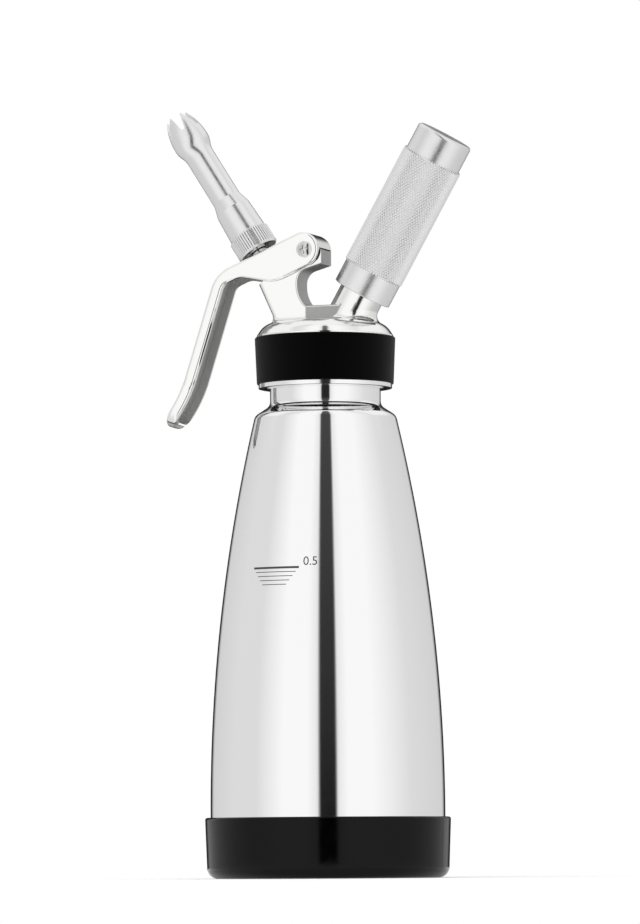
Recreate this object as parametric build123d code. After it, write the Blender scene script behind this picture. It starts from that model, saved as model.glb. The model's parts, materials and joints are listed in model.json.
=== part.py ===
from build123d import *
from math import cos, pi, radians, sin, sqrt, tan
import os

os.makedirs("parts", exist_ok=True)

# A half-litre whipping siphon. Lengths in millimetres, angles in degrees.
# Origin: centre of the boot's underside. +Z up, +X towards the charger, -Y towards the viewer.

# Fits
FIT_GAP = 0.05
RUN_GAP = 0.08
FREE_GAP = 0.3

# Base boot
BOOT_HEIGHT = 21.7
BOOT_FLOOR = 3.0
BOOT_WALL = 1.95
BOOT_TAPER = 1.6
BOOT_EDGE_ROUND = 3.8
BOOT_LIP_ROUND = 0.8

# Bottle
BOTTLE_DIAMETER = 84.0
BOTTLE_HEIGHT = 185.4
BOTTLE_WALL = 1.0
BOTTLE_STRAIGHT = 20.0
BOTTLE_BASE_ROUND = 6.0
PUNT_SHARE = 0.715
PUNT_DEPTH = 3.0
SHOULDER_STEP = 5.5
SHOULDER_DROP = 22.8
SHOULDER_RISE = 3.6
SHOULDER_ROUND = 3.0
NECK_DIAMETER = 39.8
NECK_ROUND = 3.0

# Threaded ring on the neck
NECK_RING_WALL = 1.75
NECK_RING_HEIGHT = 12.2
NECK_RING_SET_BACK = 1.2
NECK_RING_CHAMFER = 0.6

# Head
HEAD_GASKET_THICKNESS = 2.4
HEAD_GASKET_WIDTH = 3.4
GASKET_LIP = 1.4
HEAD_SKIRT_WALL = 1.5
HEAD_SKIRT_DEPTH = 15.3
HEAD_LIP_HEIGHT = 1.4
HEAD_LIP_WIDTH = 0.5
HEAD_CROWN_WIDTH = 1.1
HEAD_CROWN_HEIGHT = 5.2
HEAD_CROWN_CAMBER = 0.6
HEAD_CROWN_RIM = 0.5
HEAD_CROWN_SLOPE = 3.0
HEAD_CROWN_ROUND = 7.0
FOOT_DEPTH = 4.0
FOOT_ROUND = 3.0

# Grip band round the head
BAND_HEIGHT = 17.0
BAND_THICKNESS = 1.8
BAND_TAPER = 0.7
BAND_ROUND = 0.5

# Valve and charger axes, which meet close to the bottle's axis below the gasket
AXES_MEET_DROP = 2.8
AXES_MEET_OFFSET = 0.6
VALVE_TILT = 32.5
CHARGER_TILT = 30.0

# Valve
VALVE_SEAT_HEIGHT = 3.0
VALVE_SEAT_WALL = 1.6
VALVE_HEAD_DIAMETER = 11.0
VALVE_HEAD_THICKNESS = 2.4
VALVE_GASKET_THICKNESS = 1.8
STEM_DIAMETER = 6.0
STEM_BORE = 3.8
STEM_GUIDE_LENGTH = 22.0
STEM_PORT_DIAMETER = 2.2
STEM_PORT_COUNT = 4
GLAND_WASHER_THICKNESS = 0.9
SPRING_WIRE = 0.8
SPRING_SPACE = 12.8
SPRING_TURNS = 5
SPRING_SAMPLES = 24
SPRING_POCKET_DEPTH = 11.4
COLLAR_DIAMETER = 11.0
COLLAR_THICKNESS = 2.2
CLIP_THICKNESS = 0.8
CLIP_WIDTH = 1.3
CLIP_GROOVE_DEPTH = 0.5
CLIP_OPENING = 3.6

# Post of the head, which holds the valve and the lever's pivot
POST_WALL = 1.2
POST_SIDE_WALL = 1.1
POST_DRAFT = 8.0
POST_EDGE_ROUND = 2.0
HOOK_EDGE_ROUND = 0.8
PIVOT_OFFSET = 5.0
PIVOT_RISE = 39.7
LUG_RADIUS = 3.4
LUG_REACH = 5.6
LUG_DROP = 5.2
LUG_UNDERSIDE_SLOPE = 16.0
THROAT_OFFSET = 3.5
THROAT_DROP = 12.6
THROAT_RADIUS = 10.6
THROAT_TOP_ROUND = 4.8
THROAT_LOW = 8.6
SADDLE_WIDTH = 15.6
SADDLE_HEIGHT = 6.0
SADDLE_ROUND = 1.0

# Lever, with distances from the pivot along its arm and square to it
LEVER_CHEEK = 1.8
LEVER_SIDE_GAP = 0.4
LEVER_PLATE = 1.4
LEVER_SLOPE = 23.2
LEVER_END_RADIUS = 6.2
LEVER_END_OFFSET = 0.9
LEVER_END_RISE = 0.5
LEVER_ELBOW = 34.6
LEVER_ELBOW_ROUND = 12.0
LEVER_BEND = 48.9
LEVER_HANDLE_LENGTH = 57.9
LEVER_HANDLE_DEPTH = 4.2
LEVER_TIP_LENGTH = 13.0
LEVER_TIP_KICK = 3.7
LEVER_KICK_ROUND = 48.0
LEVER_TIP_ROUND_SHARE = 0.42
LEVER_EDGE_ROUND = 1.2
CHEEK_END = 15.5
CHEEK_SLOPE = 33.0
CHEEK_NECK_DEPTH = 4.8
CHEEK_END_ROUND = 14.0
CHEEK_NECK_ROUND = 6.0
CHEEK_ELBOW_ROUND = 4.0
LEVER_WRAP = 8.0
LEVER_TRAVEL = 10.0
NOSE_RADIUS = 2.0
NOSE_GAP = 0.2
STEM_SLOT_GAP = 0.5

# Pivot pins
PIVOT_DIAMETER = 4.4
PIVOT_HEAD_DIAMETER = 5.8
PIVOT_HEAD_THICKNESS = 0.9
PIVOT_SCREW_DIAMETER = 2.8
PIVOT_SCREW_LENGTH = 9.0
SCREW_CROSS_LENGTH = 3.4
SCREW_CROSS_WIDTH = 0.8
SCREW_CROSS_DEPTH = 0.6

# Tulip nozzle
NOZZLE_FOOT_RISE = 5.7
NOZZLE_KNURL_DIAMETER = 15.2
NOZZLE_KNURL_HEIGHT = 7.6
NOZZLE_COLLAR_DIAMETER = 14.0
NOZZLE_COLLAR_TAPER = 0.9
NOZZLE_COLLAR_HEIGHT = 10.6
NOZZLE_CONE_HEIGHT = 4.6
NOZZLE_TUBE_DIAMETER = 10.6
NOZZLE_TUBE_HEIGHT = 18.9
NOZZLE_BELL_DIAMETER = 13.5
NOZZLE_BELL_RISE = 6.7
NOZZLE_PRONG_RISE = 10.8
NOZZLE_MOUTH_DIAMETER = 8.1
NOZZLE_WALL = 0.9
NOZZLE_EDGE = 0.5
NOZZLE_THREAD_LENGTH = 8.6
NOZZLE_RECESS_DEPTH = 2.2
NOZZLE_RECESS_DIAMETER = 8.0
PRONG_COUNT = 6
PRONG_SLOT_DEPTH = 6.8
PRONG_SLOT_FOOT = 1.3
PRONG_FOOT_ROUND_SHARE = 0.45
PRONG_TIP_WIDTH = 0.6
PRONG_TURN = -75.0

# Charger stub and piercing pin
STUB_DIAMETER = 16.4
STUB_HEIGHT = 27.0
STUB_THREAD_LENGTH = 8.4
STUB_MOUTH_DIAMETER = 15.0
STUB_MOUTH_DEPTH = 4.0
PORT_HEIGHT = 20.6
PORT_DIAMETER = 10.0
PIN_FLANGE_THICKNESS = 1.4
PIN_THREAD_DIAMETER = 7.0
PIN_THREAD_LENGTH = 5.4
PIN_TAIL_DIAMETER = 3.4
PIN_TAIL_LENGTH = 3.6
PIN_BORE = 0.9
NEEDLE_DIAMETER = 2.0
NEEDLE_LENGTH = 3.4
NEEDLE_POINT = 1.6
CHARGER_SEAL_THICKNESS = 1.6
SLEEVE_WALL = 0.8
SLEEVE_LENGTH = 3.2
GAS_HOLE_DIAMETER = 2.2
GAS_HOLE_OFFSET = 8.2

# Gas charger
CHARGER_DIAMETER = 17.8
CHARGER_LENGTH = 65.5
CHARGER_WALL = 1.4
CHARGER_NECK_DIAMETER = 8.8
CHARGER_NECK_LENGTH = 9.0
CHARGER_SHOULDER = 11.0
CHARGER_NECK_ROUND = 3.0
CHARGER_SHOULDER_ROUND = 9.0
CHARGER_END_ROUND = 7.0

# Charger holder
HOLDER_WALL = 1.7
HOLDER_END_WALL = 2.2
HOLDER_RIM_HEIGHT = 8.6
HOLDER_RIM_STEP = 0.1
HOLDER_RIM_WALL = 1.15
HOLDER_CAP_HEIGHT = 9.9
HOLDER_CAP_STEP = 0.5
HOLDER_END_ROUND = 1.2
HOLDER_EDGE = 0.4

# Heights and radii that several pieces share
BOTTLE_R = BOTTLE_DIAMETER / 2
NECK_R = NECK_DIAMETER / 2
BOTTLE_BASE_Z = BOOT_FLOOR
RIM_Z = BOTTLE_BASE_Z + BOTTLE_HEIGHT
ROOF_Z = RIM_Z + HEAD_GASKET_THICKNESS
PLUG_Z = ROOF_Z - GASKET_LIP
THREAD_R = NECK_R + FIT_GAP + NECK_RING_WALL
SKIRT_R = THREAD_R + FREE_GAP + HEAD_SKIRT_WALL
SKIRT_Z = ROOF_Z - HEAD_SKIRT_DEPTH
BAND_Z = SKIRT_Z + HEAD_LIP_HEIGHT
CROWN_Z = BAND_Z + BAND_HEIGHT
CROWN_TOP = CROWN_Z + HEAD_CROWN_HEIGHT
FOOT_Z = CROWN_TOP - FOOT_DEPTH
MEET_Z = RIM_Z - AXES_MEET_DROP
PIVOT = Vector(-PIVOT_OFFSET, 0, MEET_Z + PIVOT_RISE)

# The valve's and the charger's own frames: local Z runs out along each axis, local Y is the part's Y
VALVE_LEAN = radians(VALVE_TILT)
CHARGER_LEAN = radians(CHARGER_TILT)
MEET = (AXES_MEET_OFFSET, 0, MEET_Z)
VALVE_AXIS = (-sin(VALVE_LEAN), 0, cos(VALVE_LEAN))
VALVE = Plane(MEET, x_dir=(cos(VALVE_LEAN), 0, sin(VALVE_LEAN)), z_dir=VALVE_AXIS)
CHARGER_AXIS = (sin(CHARGER_LEAN), 0, cos(CHARGER_LEAN))
CHARGER = Plane(MEET, x_dir=(cos(CHARGER_LEAN), 0, -sin(CHARGER_LEAN)), z_dir=CHARGER_AXIS)

# Radii and heights along the valve's axis, from where the axes meet
STEM_R = STEM_DIAMETER / 2
GUIDE_R = STEM_R + RUN_GAP
POCKET_R = STEM_R + SPRING_WIRE + 2 * FREE_GAP
POST_WIDTH = 2 * (POCKET_R + POST_SIDE_WALL)
POCKET_FLOOR = VALVE_SEAT_HEIGHT + STEM_GUIDE_LENGTH
POCKET_TOP = POCKET_FLOOR + SPRING_POCKET_DEPTH
SEAL_SECTION = POCKET_R - FIT_GAP - GUIDE_R
WASHER_BOTTOM = POCKET_FLOOR + SEAL_SECTION + 2 * FIT_GAP
SPRING_BOTTOM = WASHER_BOTTOM + GLAND_WASHER_THICKNESS
COLLAR_BOTTOM = SPRING_BOTTOM + SPRING_SPACE
COLLAR_TOP = COLLAR_BOTTOM + COLLAR_THICKNESS
VALVE_HEAD_TOP = VALVE_SEAT_HEIGHT - VALVE_GASKET_THICKNESS
NOZZLE_FOOT = COLLAR_TOP + NOZZLE_FOOT_RISE
STEM_TOP = NOZZLE_FOOT + NOZZLE_RECESS_DEPTH + NOZZLE_THREAD_LENGTH

# Heights along the charger's axis, from where the axes meet
SEAL_BOTTOM = PORT_HEIGHT + PIN_FLANGE_THICKNESS
CHARGER_TIP = SEAL_BOTTOM + CHARGER_SEAL_THICKNESS + FIT_GAP
CHARGER_END = CHARGER_TIP + CHARGER_LENGTH
HOLDER_FOOT = STUB_HEIGHT + FREE_GAP
HOLDER_TOP = CHARGER_END + FREE_GAP + HOLDER_END_WALL
HOLDER_BORE_R = CHARGER_DIAMETER / 2 + FREE_GAP
HOLDER_R = HOLDER_BORE_R + HOLDER_WALL
HOLDER_MOUTH_R = HOLDER_R - HOLDER_RIM_STEP - HOLDER_RIM_WALL
STUB_THREAD_TOP = HOLDER_FOOT + FREE_GAP + STUB_THREAD_LENGTH
PIN_TAIL_BOTTOM = PORT_HEIGHT - PIN_THREAD_LENGTH - PIN_TAIL_LENGTH

# Insides that the lever and its pins share
LEVER_LEAN = radians(LEVER_SLOPE)
LEVER_GAP = POST_WIDTH + 2 * LEVER_SIDE_GAP
LEVER_WIDTH = LEVER_GAP + 2 * LEVER_CHEEK
PIVOT_R = PIVOT_DIAMETER / 2
PIVOT_FRAME = Plane(PIVOT, x_dir=(1, 0, 0), z_dir=(0, -1, 0))

# Heights of the nozzle from its foot
NOZZLE_TUBE_TOP = NOZZLE_KNURL_HEIGHT + NOZZLE_COLLAR_HEIGHT + NOZZLE_CONE_HEIGHT + NOZZLE_TUBE_HEIGHT
NOZZLE_TIP = NOZZLE_TUBE_TOP + NOZZLE_BELL_RISE + NOZZLE_PRONG_RISE


def flat_outline(points, rounds):
    """A closed outline in the XZ plane, with a rounding for each corner."""
    return Plane.XZ * Face(FilletPolyline(*points, radius=rounds, close=True))


def spun(points, rounds):
    """A solid of revolution about Z from its half outline of radius and height."""
    return revolve(flat_outline(points, rounds), Axis.Z)


def ring(inner_radius, outer_radius, bottom, height):
    """A plain ring about Z."""
    wide = Cylinder(outer_radius, height, align=(Align.CENTER, Align.CENTER, Align.MIN))
    hole = Cylinder(inner_radius, height, align=(Align.CENTER, Align.CENTER, Align.MIN))
    return Pos(0, 0, bottom) * (wide - hole)


def disc(radius, bottom, height):
    """A plain cylinder about Z."""
    return Pos(0, 0, bottom) * Cylinder(radius, height, align=(Align.CENTER, Align.CENTER, Align.MIN))


def cross_bar(centre, radius, width):
    """A cylinder along Y, centred on the part's middle plane."""
    return Pos(centre.X, 0, centre.Z) * Rot(90, 0, 0) * Cylinder(radius, width)


def slab(face, width):
    """An outline of the XZ plane given a width in Y, equal on both sides."""
    return extrude(face, amount=width / 2, both=True)


def edges_through(solid, places, width):
    """The edges on both sides of a slab that pass through the middle of the given side-view places."""
    x = sum(place[0] for place in places) / len(places)
    z = sum(place[1] for place in places) / len(places)
    return [solid.edges().sort_by_distance(Vector(x, side * width / 2, z))[0] for side in (-1, 1)]


def rounded(face, corners):
    """A flat face with its named corners rounded, each with its own radius."""
    for corner, radius in corners:
        nearest = face.vertices().sort_by_distance(Vector(corner[0], corner[1], 0))[0]
        face = face.fillet_2d(radius, [nearest])
    return face


def bottle_section(inset):
    """Half outline of the bottle, moved in by the wall where the inside is meant."""
    side_start = BOTTLE_BASE_Z + BOTTLE_STRAIGHT
    shoulder_z = RIM_Z - SHOULDER_DROP
    narrowing = BOTTLE_R - NECK_R - SHOULDER_STEP
    climb = shoulder_z - side_start
    side_arc = (narrowing**2 + climb**2) / (2 * narrowing)
    base = BOTTLE_BASE_Z + inset
    outer = BOTTLE_R - inset
    shoulder_low = shoulder_z - inset
    shoulder = BOTTLE_R - side_arc + sqrt((side_arc - inset) ** 2 - (shoulder_low - side_start) ** 2)
    neck = NECK_R - inset
    neck_z = shoulder_low + SHOULDER_RISE
    punt = BOTTLE_R * PUNT_SHARE
    outline = Wire(
        [
            TangentArc((0, base + PUNT_DEPTH), (punt, base), tangent=(1, 0)),
            Line((punt, base), (outer, base)),
            Line((outer, base), (outer, side_start)),
            TangentArc((outer, side_start), (shoulder, shoulder_low), tangent=(0, 1)),
            Line((shoulder, shoulder_low), (neck, neck_z)),
            Line((neck, neck_z), (neck, RIM_Z)),
            Line((neck, RIM_Z), (0, RIM_Z)),
            Line((0, RIM_Z), (0, base + PUNT_DEPTH)),
        ]
    )
    corners = [
        ((outer, base), BOTTLE_BASE_ROUND - inset),
        ((shoulder, shoulder_low), SHOULDER_ROUND - inset),
        ((neck, neck_z), NECK_ROUND + inset),
    ]
    return Plane.XZ * rounded(Face(outline), corners)


def make_bottle():
    return revolve(bottle_section(0) - bottle_section(BOTTLE_WALL), Axis.Z)


def make_neck_ring():
    top = RIM_Z - NECK_RING_SET_BACK
    band = ring(NECK_R + FIT_GAP, THREAD_R, top - NECK_RING_HEIGHT, NECK_RING_HEIGHT)
    edges = band.edges().filter_by(GeomType.CIRCLE).group_by(SortBy.RADIUS)[-1]
    return chamfer(edges, NECK_RING_CHAMFER)


def make_base_boot():
    inside = BOTTLE_R + FIT_GAP
    top = inside + BOOT_WALL
    points = [
        (0, 0),
        (top - BOOT_TAPER / 2, 0),
        (top, BOOT_HEIGHT),
        (inside, BOOT_HEIGHT),
        (inside, BOOT_FLOOR),
        (0, BOOT_FLOOR),
    ]
    return spun(points, [0, BOOT_EDGE_ROUND, BOOT_LIP_ROUND, 0, BOTTLE_BASE_ROUND - FREE_GAP, 0])


def make_head_gasket():
    return ring(THREAD_R - HEAD_GASKET_WIDTH, THREAD_R, RIM_Z, HEAD_GASKET_THICKNESS)


def head_shell():
    """Cap of the head: threaded skirt, groove for the band, crown and the seat of the gasket."""
    inside = SKIRT_R - HEAD_SKIRT_WALL
    lip = SKIRT_R + HEAD_LIP_WIDTH
    crown = SKIRT_R + HEAD_CROWN_WIDTH
    plug = THREAD_R - HEAD_GASKET_WIDTH - FREE_GAP
    points = [
        (inside, SKIRT_Z),
        (lip, SKIRT_Z),
        (lip, BAND_Z),
        (SKIRT_R, BAND_Z),
        (SKIRT_R, CROWN_Z),
        (crown, CROWN_Z),
        (crown, CROWN_Z + HEAD_CROWN_RIM),
        (crown - HEAD_CROWN_SLOPE, CROWN_TOP),
        (0, CROWN_TOP + HEAD_CROWN_CAMBER),
        (0, PLUG_Z),
        (plug, PLUG_Z),
        (plug, ROOF_Z),
        (inside, ROOF_Z),
    ]
    # the seam of the turned faces is kept away from the feet of the branches
    return Rot(0, 0, 90) * spun(points, [0, 0, 0, 0, 0, 0, 0, HEAD_CROWN_ROUND, 0, 0, 0, 0, 0])


def by_valve(side, height):
    """A point of the middle plane from its place beside and along the valve's axis."""
    point = VALVE.from_local_coords((side, 0, height))
    return point.X, point.Z


def head_post():
    """Flat-sided post round the valve, with the pivot's lug and the throat under it."""
    left = -(POCKET_R + POST_WALL)
    left_top = by_valve(left, POCKET_TOP)
    left_slope = tan(VALVE_LEAN - radians(POST_DRAFT))
    left_foot = (left_top[0] + (left_top[1] - FOOT_Z) * left_slope, FOOT_Z)
    lug_top = by_valve(VALVE.to_local_coords(PIVOT).X, POCKET_TOP)
    end = PIVOT.X + LUG_REACH
    end_low = PIVOT.Z - LUG_DROP
    throat_x = PIVOT.X - THROAT_OFFSET
    throat_z = PIVOT.Z - THROAT_DROP
    corner_z = end_low - (end - throat_x) * tan(radians(LUG_UNDERSIDE_SLOPE))
    low_x = throat_x + THROAT_RADIUS - sqrt(THROAT_RADIUS**2 - THROAT_LOW**2)
    low_z = throat_z - THROAT_LOW
    outline = Wire(
        [
            Line(left_foot, left_top),
            Line(left_top, lug_top),
            Line(lug_top, (end, PIVOT.Z)),
            Line((end, PIVOT.Z), (end, end_low)),
            Line((end, end_low), (throat_x, corner_z)),
            Line((throat_x, corner_z), (throat_x, throat_z)),
            TangentArc((throat_x, throat_z), (low_x, low_z), tangent=(0, -1)),
            Line((low_x, low_z), (low_x, FOOT_Z)),
            Line((low_x, FOOT_Z), left_foot),
        ]
    )
    face = rounded(Face(outline), [((throat_x, corner_z), THROAT_TOP_ROUND)])
    post = slab(Plane.XZ * face, POST_WIDTH)
    post = fillet(edges_through(post, [left_foot, left_top], POST_WIDTH), POST_EDGE_ROUND)
    post = fillet(edges_through(post, [(throat_x, throat_z)], POST_WIDTH), HOOK_EDGE_ROUND)
    return post + cross_bar(PIVOT, LUG_RADIUS, POST_WIDTH)


def head_saddle():
    """Web between the post and the charger's stub."""
    top = CROWN_TOP + SADDLE_HEIGHT
    corners = [(PIVOT.X, FOOT_Z), (PIVOT.X, top)]
    for height in (top, FOOT_Z):
        corners.append((AXES_MEET_OFFSET + (height - MEET_Z) * tan(CHARGER_LEAN), height))
    web = slab(flat_outline(corners, 0), SADDLE_WIDTH)
    edges = web.edges().filter_by(Axis.X).group_by(Axis.Z)[-1] + web.edges().filter_by(Axis.Z)
    return fillet(edges, SADDLE_ROUND)


def head_stub():
    """Neck for the charger, with the holder's thread round its end."""
    radius = STUB_DIAMETER / 2
    foot = (FOOT_Z - MEET_Z - radius * sin(CHARGER_LEAN)) / cos(CHARGER_LEAN)
    neck = disc(radius, foot, STUB_THREAD_TOP - foot)
    thread_bottom = HOLDER_FOOT + FREE_GAP
    thread = disc(HOLDER_MOUTH_R - FREE_GAP, thread_bottom, STUB_THREAD_LENGTH)
    return CHARGER * (neck + thread)


def valve_bores():
    """Space for the stem, its seal and its spring, along the valve's axis."""
    guide = disc(GUIDE_R, 0, POCKET_FLOOR)
    pocket = disc(POCKET_R, POCKET_FLOOR, SPRING_POCKET_DEPTH + COLLAR_THICKNESS)
    head_reach = VALVE_HEAD_DIAMETER
    head_space = disc(VALVE_HEAD_DIAMETER / 2 + FREE_GAP, VALVE_SEAT_HEIGHT - head_reach, head_reach)
    return VALVE * (guide + pocket + head_space)


def charger_bores():
    """Space for the charger's neck and the piercing pin, and the gas hole into the head."""
    chamber_bottom = PIN_TAIL_BOTTOM - FREE_GAP
    chamber = disc(PIN_THREAD_DIAMETER / 2 + FIT_GAP, chamber_bottom, PORT_HEIGHT - chamber_bottom)
    port = disc(PORT_DIAMETER / 2, PORT_HEIGHT, STUB_THREAD_TOP - PORT_HEIGHT)
    mouth = Pos(0, 0, STUB_THREAD_TOP - STUB_MOUTH_DEPTH / 2) * Cone(
        PORT_DIAMETER / 2, STUB_MOUTH_DIAMETER / 2, STUB_MOUTH_DEPTH
    )
    way_in = MEET_Z + PIN_TAIL_BOTTOM * cos(CHARGER_LEAN)
    gas_hole = Pos(GAS_HOLE_OFFSET, 0, 0) * disc(GAS_HOLE_DIAMETER / 2, PLUG_Z, way_in - PLUG_Z)
    return CHARGER * (chamber + port + mouth) + gas_hole


def with_foot(shell, branch):
    """A branch joined to the head's cap, with a rounded foot where it leaves the crown."""
    joined = shell + branch
    feet = joined.edges().filter_by_position(Axis.Z, CROWN_TOP, CROWN_TOP + HEAD_CROWN_CAMBER)
    feet = feet.filter_by(lambda edge: edge.geom_type not in (GeomType.CIRCLE, GeomType.LINE))
    return fillet(feet, FOOT_ROUND)


def make_head_casting():
    shell = head_shell()
    seat_radius = VALVE_HEAD_DIAMETER / 2 + VALVE_SEAT_WALL
    seat = VALVE * disc(seat_radius, VALVE_SEAT_HEIGHT, ROOF_Z - MEET_Z)
    body = with_foot(shell, head_post()) + with_foot(shell, head_stub()) + head_saddle()
    body = body - disc(THREAD_R - HEAD_GASKET_WIDTH, SKIRT_Z, PLUG_Z - SKIRT_Z) + seat
    return body - valve_bores() - charger_bores() - cross_bar(PIVOT, PIVOT_R + RUN_GAP, POST_WIDTH)


def make_grip_band():
    inside = SKIRT_R + FIT_GAP
    top = SKIRT_R + BAND_THICKNESS
    low_z = BAND_Z + FIT_GAP
    high_z = CROWN_Z - FIT_GAP
    points = [(inside, low_z), (top - BAND_TAPER, low_z), (top, high_z), (inside, high_z)]
    return spun(points, [0, BAND_ROUND, BAND_ROUND, 0])


def make_stem_seal():
    middle = GUIDE_R + SEAL_SECTION / 2
    return VALVE * Pos(0, 0, POCKET_FLOOR + FIT_GAP + SEAL_SECTION / 2) * Torus(middle, SEAL_SECTION / 2)


def make_gland_washer():
    return VALVE * ring(GUIDE_R, POCKET_R - FIT_GAP, WASHER_BOTTOM, GLAND_WASHER_THICKNESS)


def make_valve_stem():
    bottom = VALVE_HEAD_TOP - VALVE_HEAD_THICKNESS
    groove = COLLAR_TOP - CLIP_THICKNESS
    stem = disc(VALVE_HEAD_DIAMETER / 2, bottom, VALVE_HEAD_THICKNESS)
    stem = stem + disc(STEM_R, bottom, STEM_TOP - bottom)
    stem = stem - disc(STEM_BORE / 2, VALVE_HEAD_TOP, STEM_TOP - VALVE_HEAD_TOP)
    stem = stem - ring(STEM_R - CLIP_GROOVE_DEPTH, STEM_DIAMETER, groove, CLIP_THICKNESS)
    port_height = VALVE_SEAT_HEIGHT + STEM_PORT_DIAMETER / 2 + FREE_GAP
    port = Pos(0, 0, port_height) * Rot(0, 90, 0) * Cylinder(STEM_PORT_DIAMETER / 2, 2 * STEM_DIAMETER)
    for turn in range(STEM_PORT_COUNT // 2):
        stem = stem - Rot(0, 0, turn * 360 / STEM_PORT_COUNT) * port
    return VALVE * stem


def make_valve_gasket():
    return VALVE * ring(STEM_R + FIT_GAP, VALVE_HEAD_DIAMETER / 2, VALVE_HEAD_TOP, VALVE_GASKET_THICKNESS)


def make_spring_collar():
    clip_seat = STEM_R + CLIP_WIDTH + FIT_GAP
    collar = ring(STEM_R + FIT_GAP, COLLAR_DIAMETER / 2, COLLAR_BOTTOM, COLLAR_THICKNESS)
    return VALVE * (collar - disc(clip_seat, COLLAR_TOP - CLIP_THICKNESS, CLIP_THICKNESS))


def make_retaining_ring():
    inner = STEM_R - CLIP_GROOVE_DEPTH + FIT_GAP
    clip = ring(inner, STEM_R + CLIP_WIDTH, COLLAR_TOP - CLIP_THICKNESS, CLIP_THICKNESS)
    opening = Pos(STEM_R, 0, COLLAR_TOP) * Box(STEM_DIAMETER, CLIP_OPENING, 2 * CLIP_THICKNESS)
    return VALVE * (clip - opening)


def spring_point(turn):
    """Middle of the spring's wire after so many turns, and the way that it runs there."""
    mean_r = STEM_R + FREE_GAP + SPRING_WIRE / 2
    rise = SPRING_SPACE - SPRING_WIRE - 2 * FIT_GAP
    angle = 2 * pi * turn
    height = SPRING_WIRE / 2 + FIT_GAP + rise * turn / SPRING_TURNS
    point = Vector(mean_r * cos(angle), mean_r * sin(angle), height)
    way = Vector(-mean_r * sin(angle), mean_r * cos(angle), rise / SPRING_TURNS / (2 * pi))
    return point, way.normalized()


def two_arcs(start, start_way, end, end_way):
    """Two arcs that leave the start and reach the end in the given directions."""
    across = end - start
    ways = start_way + end_way
    straight = 2 * (1 - start_way.dot(end_way))
    reach = across.dot(ways)
    length = (sqrt(reach**2 + straight * across.dot(across)) - reach) / straight
    joint = (start + start_way * length + end - end_way * length) / 2
    first = TangentArc(start, joint, tangent=start_way)
    return [first, TangentArc(joint, end, tangent=first % 1)]


def make_valve_spring():
    steps = [turn / 2 for turn in range(2 * SPRING_TURNS + 1)]
    arcs = []
    for low, high in zip(steps, steps[1:]):
        arcs += two_arcs(*spring_point(low), *spring_point(high))
    path = Wire(arcs)
    start, way = spring_point(0)
    spring = sweep(Plane(start, z_dir=way) * Circle(SPRING_WIRE / 2), path=path)
    samples = [spring_point(turn / SPRING_SAMPLES)[0] for turn in range(SPRING_SAMPLES * SPRING_TURNS)]
    half = SPRING_SAMPLES // 2
    gaps = [(a - b).length for i, a in enumerate(samples) for b in samples[i + half :]]
    print("valve_spring least gap", round(min(gaps) - SPRING_WIRE, 2))
    return VALVE * Pos(0, 0, SPRING_BOTTOM) * spring


def by_arm(along, above):
    """A point of the middle plane from its place along the lever's arm and above it."""
    x = PIVOT.X - along * cos(LEVER_LEAN) - above * sin(LEVER_LEAN)
    z = PIVOT.Z - along * sin(LEVER_LEAN) + above * cos(LEVER_LEAN)
    return x, z


def handle_point(along, inward):
    """A point of the middle plane from its place down the handle and in from its outer face."""
    bend = radians(LEVER_BEND)
    top = LEVER_END_RISE + LEVER_END_RADIUS
    arm = LEVER_ELBOW + along * cos(bend) - inward * sin(bend)
    return by_arm(arm, top - along * sin(bend) - inward * cos(bend))


def lever_outline():
    """Side view of the lever, from the pivot's end round the cheek, handle and top."""
    top = LEVER_END_RISE + LEVER_END_RADIUS
    low = LEVER_END_RISE - LEVER_END_RADIUS
    neck = top - CHEEK_NECK_DEPTH
    neck_start = CHEEK_END + (neck - low) / tan(radians(CHEEK_SLOPE))
    bend = radians(LEVER_BEND)
    inner_start = (CHEEK_NECK_DEPTH - LEVER_HANDLE_DEPTH * cos(bend)) / sin(bend)
    kick = LEVER_HANDLE_LENGTH - LEVER_TIP_LENGTH
    points = [
        by_arm(LEVER_END_OFFSET, low),
        by_arm(CHEEK_END, low),
        by_arm(neck_start, neck),
        handle_point(inner_start, LEVER_HANDLE_DEPTH),
        handle_point(kick, LEVER_HANDLE_DEPTH),
        handle_point(LEVER_HANDLE_LENGTH, LEVER_HANDLE_DEPTH - LEVER_TIP_KICK),
        handle_point(LEVER_HANDLE_LENGTH, -LEVER_TIP_KICK),
        handle_point(kick, 0),
        handle_point(0, 0),
        by_arm(LEVER_END_OFFSET, top),
    ]
    rounds = [CHEEK_END_ROUND, CHEEK_NECK_ROUND, CHEEK_ELBOW_ROUND, LEVER_KICK_ROUND]
    rounds += [0, 0, LEVER_KICK_ROUND, LEVER_ELBOW_ROUND]
    path = FilletPolyline(*points, radius=rounds)
    tip = by_arm(LEVER_END_OFFSET - LEVER_END_RADIUS, LEVER_END_RISE)
    end = ThreePointArc(points[-1], tip, points[0])
    return Plane.XZ * Face(Wire(path.edges() + [end]))


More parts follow.
